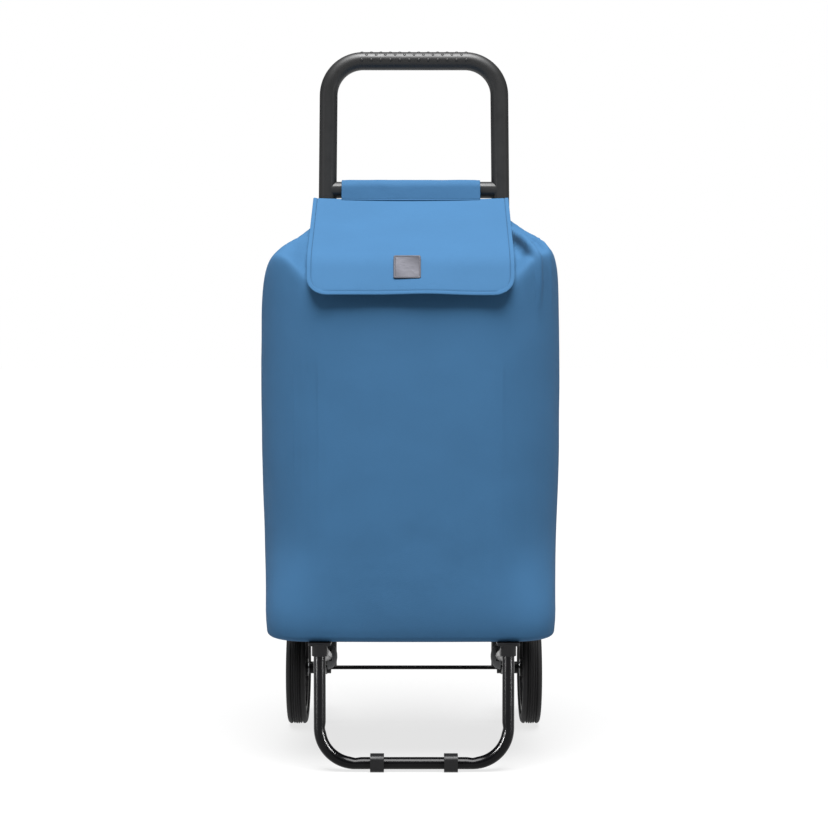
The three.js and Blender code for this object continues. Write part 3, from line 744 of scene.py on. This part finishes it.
def flap_point(x, run, lift=0.0):
    """A point on the flap's face, and which way is out there: x across it, run down it and lift
    out of it."""
    step = 0.002
    y, z = flap_place(run)
    dy, dz = flap_place(run + step) - flap_place(run - step)
    out = Vector((0, dz, -dy)).normalized()
    share = run / FLAP_LENGTH
    edge = abs(x) / FLAP_HALF_TOP
    wave = ripple((x, run * 0.7, 0), 0.07, 11.0) * 0.0011 * min(1.0, share * 5)
    wave += 0.0009 * share ** 3 * math.sin(x / 0.021 + 0.8)
    point = Vector((x + BAG_SHIFT, y, z)) + out * (wave + lift)
    point.z += 0.0030 * edge ** 2 * (1 - share) ** 2 - 0.0012 * edge ** 2 * share
    return point, out


def hem_lift(distance):
    """The turned-in hem is one layer thicker, and the row of stitches pulls it in."""
    band = 0.00045 * (1 - min(1.0, max(0.0, (distance - 0.0055) / 0.001)))
    groove = 0.00075 * math.exp(-((distance - HEM) / 0.0009) ** 2)
    edge = 0.0009 * (1 - min(1.0, distance / 0.0012)) ** 2
    return band - groove - edge


def flap_sheet():
    """The flap's cloth, with finer rows and columns at its hem."""
    fine = [0, 0.0008, 0.002, 0.0045, 0.0055, HEM, 0.0069, 0.008, 0.0105]
    straight = [*np.arange(0, CORNER_RUN, 0.005)]
    corner = [CORNER_RUN + d for d in np.linspace(0, FLAP_CORNER - fine[-1], 8)]
    runs = [*straight, *corner, *[FLAP_LENGTH - d for d in fine[::-1]][1:]]
    places = [1 - d / FLAP_HALF_TOP for d in fine]
    inner = np.linspace(places[-1], -places[-1], 46)[1:-1]
    columns = [*places, *inner, *[-p for p in places[::-1]]]
    rows = []
    for run in runs:
        row = []
        for place in columns:
            x = flap_half(run) * place
            row.append(flap_point(x, run, hem_lift(flap_edge_distance(x, run)))[0])
        rows.append(row)
    sheet = grid("flap_cloth", rows, cloth)
    thickened(sheet, 0.0019)
    modifier(sheet, "SUBSURF", levels=1, render_levels=1)
    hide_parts("flap")
    return sheet


def flap_hem():
    """The row of stitches down one side of the flap, round its foot and up the other side."""
    right = [(flap_half(run) - HEM, run) for run in np.arange(0.004, CORNER_RUN, 0.004)]
    right += arc(CORNER_X, CORNER_RUN, FLAP_CORNER - HEM, 0, 90, 10)
    path = right + [(-x, run) for x, run in right[::-1]]
    line, normals = [], []
    for x, run in resampled(np.array(path), 260):
        point, out = flap_point(x, run, hem_lift(HEM))
        line.append(point)
        normals.append(out)
    return stitching("flap_stitching", np.array([tuple(p) for p in line]), normals, thread_blue)


def label():
    """The plain metal plate on the flap, with a raised border round its brushed face."""
    low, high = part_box("label_plate")
    run = float(np.interp(-(low.z + high.z) / 2, -FLAP_LINE[:, 1], FLAP_RUN))
    x = (low.x + high.x) / 2
    centre, out = flap_point(x, run)
    half = (high.x - low.x) / 2
    down = Vector((0, out.z, -out.y))
    if down.z > 0:
        down = -down
    levels = [  # how far in from the plate's edge, and how high
        (0, 0.0006), (0, 0.0017), (0.0006, 0.0020), (0.0018, 0.0020), (0.0024, 0.0016),
    ]
    points = []
    for inset, lift in levels:
        corner = 0.0024 - min(inset, 0.0015)
        size = half - inset
        ring = []
        for cx, cy, start in ((1, 1, 0), (-1, 1, 90), (-1, -1, 180), (1, -1, 270)):
            ring += arc(cx * (size - corner), cy * (size - corner), corner, start, start + 90, 6)
        points += [centre + ACROSS * u - down * v + out * lift for u, v in ring]
    faces = ringed(0, len(levels), len(ring))
    plate = shaded_by_angle(mesh_object("label", points, faces, label_metal), 30)
    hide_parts("label_plate")
    return plate


# ---- the sleeve round the crossbar ----

SLEEVE_RADIUS = 0.0142  # of the cloth round the crossbar
WRAP_START, WRAP_END = 11, 168  # degrees round the bar, over its top from its front


def tail_behind(z):
    """The tail hangs from the back of the bar and swings forward to the back of the bag."""
    start = SLEEVE_RADIUS * math.cos(math.radians(180 - WRAP_END))
    return TUBE.y + (start - 0.0246 * min(1.0, (BAR_HEIGHT - z) / 0.030) ** 1.5)


def sleeve_profile():
    """From the flap's seam flat up to the front of the bar, over it and down its back."""
    seam = (SEAM.y - 0.0004, SEAM.z)
    over_bar = [
        (2 * TUBE.y - y, z)
        for y, z in arc(TUBE.y, BAR_HEIGHT, SLEEVE_RADIUS, WRAP_START, WRAP_END, 20)
    ]
    front = over_bar[0]
    rise = [
        (seam[0] + (front[0] - seam[0]) * t, seam[1] + (front[1] - seam[1]) * t)
        for t in np.linspace(0, 1, 9)[:-1]
    ]
    tail = [(tail_behind(z), z) for z in np.linspace(BAR_HEIGHT - 0.004, BODY_HIGH.z + 0.115, 10)]
    return [*rise, *over_bar, *tail]


def sleeve():
    """The cloth that hangs the bag from the crossbar, and the rolled seam at its lower edge."""
    half = SLEEVE_HALF
    profile = sleeve_profile()
    rows = []
    for i, (y, z) in enumerate(profile):
        row = []
        for x in np.linspace(half, -half, 56):
            end = abs(x) / half
            stitched = math.exp(-((end - 0.955) / 0.012) ** 2)
            loose = 0.0004 * ripple((x, i * 0.004, 0), 0.03, 5.0) - 0.0007 * stitched
            away = np.array([y - TUBE.y, z - BAR_HEIGHT])
            away = away / np.linalg.norm(away) * loose
            row.append((x + BAG_SHIFT, y + away[0], z + away[1]))
        rows.append(row)
    cover = grid("sleeve_cloth", rows, cloth)
    thickened(cover, 0.0011, offset=0.0)
    modifier(cover, "SUBSURF", levels=1, render_levels=1)
    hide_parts("bar_sleeve")
    seam_line = [(x + BAG_SHIFT, SEAM.y - 0.0020, SEAM.z - 0.0006) for x in (-half, half)]
    seam_roll = swept("seam_roll", seam_line, 0.0013, cloth, sides=10)
    return [cover, seam_roll]


# ---- straps from the bag to the rear tubes ----

def strap(side):
    """A loop of webbing round a rear tube, sewn flat to the bag's back."""
    low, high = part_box("frame_strap_" + side)
    x = (low.x + high.x) / 2
    radius = 0.0094
    back = BAG_BACK + 0.0009
    section = [(x - 0.030, back), (x - 0.020, back), (x - 0.0125, back + 0.0006)]
    section += arc(x, TUBE.y, radius, 200, -20, 18)
    section += [(x + 0.0125, back + 0.0006), (x + 0.020, back), (x + 0.030, back)]
    rows = []
    for z in np.linspace(low.z, high.z, 9):
        rows.append([(u, v + 0.0002 * ripple((u, v, z), 0.01), z) for u, v in section])
    loop = grid("strap_" + side, rows, webbing)
    thickened(loop, 0.0013, offset=0.0)
    modifier(loop, "SUBSURF", levels=1, render_levels=1)
    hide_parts("frame_strap_" + side)
    return loop


# ---- the handle ----

HANDLE_RADIUS = (HANDLE_HIGH.y - HANDLE_LOW.y) / 2 + 0.0003
HANDLE_CORNER = 0.050
BAR_RADIUS, BAR_HALF = 0.012, 0.1235
BORE_RADIUS = 0.0083  # of the socket in each leg, which takes a rear tube


def handle_line():
    """Centre line of the loop, from the foot of its right leg over the top to the left."""
    top = HANDLE_HIGH.z - HANDLE_RADIUS
    half_top, half_bottom = TUBE.x - 0.0011, TUBE.x + 0.0007
    right = arc(half_top - HANDLE_CORNER, top - HANDLE_CORNER, HANDLE_CORNER, 0, 90, 18)
    left = [(-x, z) for x, z in right[::-1]]
    leg = [(half_bottom, HANDLE_LOW.z), (half_bottom, HANDLE_LOW.z + 0.02)]
    outline = [*leg, *right, *left, *[(-x, z) for x, z in leg[::-1]]]
    return [(x, TUBE.y, z) for x, z in outline]


def handle():
    """The loop and its crossbar as one moulding, bored for the rear tubes, and its grip dots."""
    loop = swept("loop", handle_line(), HANDLE_RADIUS, handle_plastic, normal=BACKWARD, sides=40)
    bar_line = [(x, TUBE.y, BAR_HEIGHT) for x in (-BAR_HALF, BAR_HALF)]
    bar = swept("bar", bar_line, BAR_RADIUS, handle_plastic, sides=40)
    socket_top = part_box("rear_tube_right")[1].z + 0.0003
    bores = []
    for x in (-TUBE.x, TUBE.x):
        line = [(x, TUBE.y, z) for z in (HANDLE_LOW.z - 0.01, socket_top)]
        bores.append(swept("bore", line, BORE_RADIUS, handle_plastic, normal=ACROSS, sides=32))
    made = carved("handle", loop, [bar], bores)
    modifier(made, "BEVEL", width=0.0008, segments=2, limit_method="ANGLE", angle_limit=math.radians(50))
    shaded_by_angle(made)
    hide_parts("handle_loop")
    return [made, grip_dots()]


def grip_dots():
    """Rows of small raised dots along the top of the grip."""
    points, faces = [], []
    top = HANDLE_HIGH.z - HANDLE_RADIUS
    pitch, count, sides = 0.0137, 12, 10
    for row, angle in enumerate((0, 38, 76, 114)):
        out = Vector((0, -math.cos(math.radians(angle)), math.sin(math.radians(angle))))
        side = ACROSS.cross(out)
        shift = pitch / 2 if row % 2 else 0
        for i in range(count - row % 2):
            x = (i - (count - 1) / 2) * pitch + shift
            base = Vector((x, TUBE.y, top)) + out * (HANDLE_RADIUS - 0.0003)
            first = len(points)
            for size, rise in ((0.0022, 0.0), (0.0020, 0.0006), (0.0013, 0.0010)):
                for k in range(sides):
                    a = 2 * math.pi * k / sides
                    points.append(base + size * (math.cos(a) * ACROSS + math.sin(a) * side) + out * rise)
            points.append(base + out * 0.0012)
            faces += ringed(first, 3, sides, capped=False)
            tip = len(points) - 1
            last = tip - sides
            faces += [[last + k, last + (k + 1) % sides, tip] for k in range(sides)]
    dots = mesh_object("grip_dots", points, faces, handle_plastic)
    return dots


# ---- the folding base ----

def front_leg():
    """The bent tube; the bending tool has left a shallow mark inside each end of both bends."""
    radius = half_size("front_leg", 1)
    centre_y = middle("front_leg").y
    half = LEG_HIGH.x - radius
    low = LEG_LOW.z + radius
    bend = 0.047
    right = arc(half - bend, low + bend, bend, 0, -90, 20)
    left = [(-x, z) for x, z in right[::-1]]
    outline = [(half, LEG_HIGH.z), (half, low + bend + 0.012), *right]
    outline += [*left, (-half, low + bend + 0.012), (-half, LEG_HIGH.z)]
    line = resampled(np.array([(x, centre_y, z) for x, z in outline]), 170)
    length = running(line)[-1]
    upright = LEG_HIGH.z - low - bend
    quarter = math.pi / 2 * bend
    marks = [upright, upright + quarter]
    marks += [length - m for m in marks]

    def dent(share, angle):
        near = sum(math.exp(-((share * length - mark) / 0.0045) ** 2) for mark in marks)
        inside = max(0.0, math.cos(angle + math.pi)) ** 2
        return -0.0011 * near * inside

    tube = swept("leg_tube", line, radius, black_steel, normal=BACKWARD, sides=36, dent=dent)
    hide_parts("front_leg")
    return tube


# ---- the wheels ----

def tyre(side, sign):
    """A tyre with rounded shoulders, five grooves round its tread and a bead at the rim."""
    half = half_size("tyre_" + side, 0)
    radius = half_size("tyre_" + side)
    inner = 0.068
    shoulder = 0.0055
    tread = []
    for i in range(5):
        groove = (i - 2) * 0.0034
        sag = 0.0004 * (i - 2) ** 2
        tread += [
            (radius - sag * 0.5, groove - 0.0012), (radius - 0.0014 - sag, groove - 0.0006),
            (radius - 0.0014 - sag, groove + 0.0006), (radius - sag * 0.5, groove + 0.0012),
        ]
    rounding = arc(half - shoulder, radius - shoulder, shoulder, 0, 78, 8)
    wall = [(inner, half - 0.003), (inner + 0.0012, half - 0.0008), (inner + 0.0024, half - 0.0002)]
    upper = [*wall, *[(r, h) for h, r in rounding]]
    profile = [(r, -h) for r, h in upper] + tread + upper[::-1]
    profile.append(profile[0])
    centre = middle("tyre_" + side)
    made = lathed("tyre_tread_" + side, profile, centre, ACROSS * sign, tyre_rubber, 96)
    shaded_by_angle(made, 50)
    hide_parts("tyre_" + side)
    return made


def hub_cap(side, sign):
    """A domed cap with a stepped rim."""
    wheel = middle("tyre_" + side)
    low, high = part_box("hub_cap_" + side)
    rim_radius = half_size("hub_cap_" + side)
    start = min(abs(low.x), abs(high.x)) - abs(wheel.x)
    end = max(abs(low.x), abs(high.x)) - abs(wheel.x)
    dome = [
        (rim_radius * 0.72 * math.cos(a), start + 0.0042 + (end - start - 0.0042) * math.sin(a))
        for a in np.linspace(0, math.pi / 2 - 0.05, 9)
    ]
    profile = [
        (0.0092, start + 0.004), (0.0092, start + 0.0002), (rim_radius - 0.0003, start),
        (rim_radius, start + 0.0004), (rim_radius, start + 0.0019),
        (rim_radius - 0.0009, start + 0.0030), (rim_radius * 0.78, start + 0.0038), *dome,
    ]
    made = lathed("hub_dome_" + side, profile, wheel, ACROSS * sign, black_plastic, 48)
    shaded_by_angle(made, 40)
    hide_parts("hub_cap_" + side)
    return made


def release_button(side, sign):
    """The grained grey dome on the bracket's inner side, with a flat lip round its edge."""
    low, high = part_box("release_button_" + side)
    radius = half_size("release_button_" + side)
    height = high.x - low.x
    centre = middle("release_button_" + side)
    centre.x = sign * max(abs(low.x), abs(high.x))
    foot = 0.003  # the height at which the dome starts, behind the lip
    dome = [
        (radius * 0.95 * math.cos(a), foot + (height - foot) * math.sin(a))
        for a in np.linspace(0, math.pi / 2 - 0.04, 12)
    ]
    hollow, ceiling = radius - 0.006, 0.0103
    inside = [(hollow, ceiling), (hollow, 0)]
    lip = [(radius - 0.0003, 0), (radius, 0.0004), (radius, 0.0021)]
    profile = [*inside, *lip, *dome]
    made = lathed("button_dome_" + side, profile, centre, ACROSS * -sign, grey_plastic, 48)
    shaded_by_angle(made, 40)
    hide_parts("release_button_" + side)
    return made


# ---- what each CAD node that stays is made of ----

KEPT = {
    **dict.fromkeys(("rear_brace", "axle", "rear_tube", "arm_tube"), black_steel),
    **dict.fromkeys(("side_bracket", "arm_end", "elbow", "foot_clip", "rim"), black_plastic),
    **dict.fromkeys(("handle_screw", "pivot_pin", "axle_nut", "wheel_washer"), zinc),
    "wheel_bush": grey_plastic,
}


def zinc_copy(node, name):
    """A modelled zinc node as a piece of its own."""
    original = frame["nodes"][node]
    piece = bpy.data.objects.new(name, original.data.copy())
    piece.matrix_world = original.matrix_world
    bpy.context.scene.collection.objects.link(piece)
    piece.data.materials.clear()
    piece.data.materials.append(zinc)
    shaded_by_angle(piece)
    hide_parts(node)
    return piece


def spring(side):
    """The coil behind a button, on the frame with a mesh of its own."""
    coil = zinc_copy("button_spring_" + side, "button_coil_" + side)
    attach(coil, "frame")
    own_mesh(coil)


def finish_kept_nodes():
    """Gives each node that is shown as it was modelled its material."""
    for name, node in frame["nodes"].items():
        kind = name.removesuffix("_left").removesuffix("_right")
        if kind in KEPT:
            node.data.materials.clear()
            node.data.materials.append(KEPT[kind])
            shaded_by_angle(node)


# ---- the studio ----

lacquered_pieces = bpy.data.collections.new("lacquered_pieces")


def floor():
    """A pale light table: it glows a little, so that shadows on it stay faint."""
    graph = Graph("floor", (0.085, 0.085, 0.085), 0.9, Specular_IOR_Level=0.0, Emission_Strength=0.76)
    graph.shader.inputs["Emission Color"].default_value = (1, 1, 1, 1)
    tone = graph.noise(graph.place(), 0.6, 2)
    graph.color(tone, (0.083, 0.083, 0.083), (0.087, 0.087, 0.087))
    size = 30
    corners = [(-size, -size, 0), (size, -size, 0), (size, size, 0), (-size, size, 0)]
    mesh_object("floor", corners, [[0, 1, 2, 3]], graph.material)


def sky():
    """A white background that the camera sees, in a studio that is dim all round."""
    world = bpy.data.worlds.new("studio")
    bpy.context.scene.world = world
    world.use_nodes = True
    tree = world.node_tree
    seen = tree.nodes.new("ShaderNodeLightPath").outputs["Is Camera Ray"]
    strength = tree.nodes.new("ShaderNodeMapRange")
    strength.inputs["To Min"].default_value = 0.10
    strength.inputs["To Max"].default_value = 1.0
    tree.links.new(seen, strength.inputs["Value"])
    tree.links.new(strength.outputs["Result"], tree.nodes["Background"].inputs["Strength"])
    tree.nodes["Background"].inputs["Color"].default_value = (1, 1, 1, 1)


def light(name, kind, place, aim, energy, **settings):
    """A lamp that points from one place to another and that the camera doesn't see."""
    data = bpy.data.lights.new(name, kind)
    data.energy = energy
    for key, value in settings.items():
        setattr(data, key, value)
    lamp = bpy.data.objects.new(name, data)
    lamp.location = place
    lamp.rotation_euler = (Vector(aim) - Vector(place)).to_track_quat("-Z", "Y").to_euler()
    lamp.visible_camera = False
    bpy.context.scene.collection.objects.link(lamp)
    return lamp


def studio():
    """A soft light overhead and a strip at each side. The lacquered pieces also have a pair of
    edge lights of their own, which draw their highlights."""
    floor()
    sky()
    light("overhead", "SUN", (0, -0.78, 2.27), (0, 0, 0), 11.5, angle=math.radians(42))
    for name, side in (("left", -1), ("right", 1)):
        place = (side * 2.2, -0.95, 0.85)
        light("strip_" + name, "AREA", place, (0, 0, 0.45), 5.0, shape="RECTANGLE", size=0.2, size_y=1.7)
        edge = light("edge_" + name, "AREA", (side * 1.05, -0.80, 0.5), (0, -0.1, 0.5), 120.0,
                     shape="RECTANGLE", size=0.10, size_y=1.0)
        edge.light_linking.receiver_collection = lacquered_pieces


def camera():
    """At the photograph's height and distance, looking slightly down."""
    data = bpy.data.cameras.new("camera")
    data.sensor_width = 36
    data.lens = 78.35
    eye = bpy.data.objects.new("camera", data)
    eye.location = (0, TUBE.y - 2.633, 0.5756)
    eye.rotation_euler = (math.radians(90 - 2.43), 0, 0)
    bpy.context.scene.collection.objects.link(eye)
    bpy.context.scene.camera = eye
    bpy.context.scene.view_settings.view_transform = "Standard"


# ---- putting it together ----


def ride_all(pieces, body, folds=False):
    """Puts pieces on a body. Those that fold also have their modifiers worked into a mesh of their own."""
    for piece in pieces:
        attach(piece, body)
        if folds:
            settled(piece)
            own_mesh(piece)


camera()
studio()
finish_kept_nodes()

bag_pieces = bag()
for piece in bag_pieces:
    piece.location.x += BAG_SHIFT
flap_cloth, flap_stitches = flap_sheet(), flap_hem()
sleeve_pieces = sleeve()
eyelets = [zinc_copy("eyelet_" + side, "bag_eyelet_" + side) for side in ("left", "right")]
ride_all([*bag_pieces, *eyelets], "frame", folds=True)
ride_all([flap_cloth, flap_stitches, label()], "flap", folds=True)
ride_all([*sleeve_pieces, *handle()], "frame")
ride_all([front_leg()], "base")
for side, sign in (("left", -1), ("right", 1)):
    ride_all([strap(side)], "frame")
    ride_all([tyre(side, sign), hub_cap(side, sign)], "wheel_" + side)
    ride_all([release_button(side, sign)], "button_" + side)
    spring(side)

for piece in bpy.data.objects:
    if piece.type == "MESH" and piece.data.materials[:] and piece.data.materials[0] == black_steel:
        lacquered_pieces.objects.link(piece)
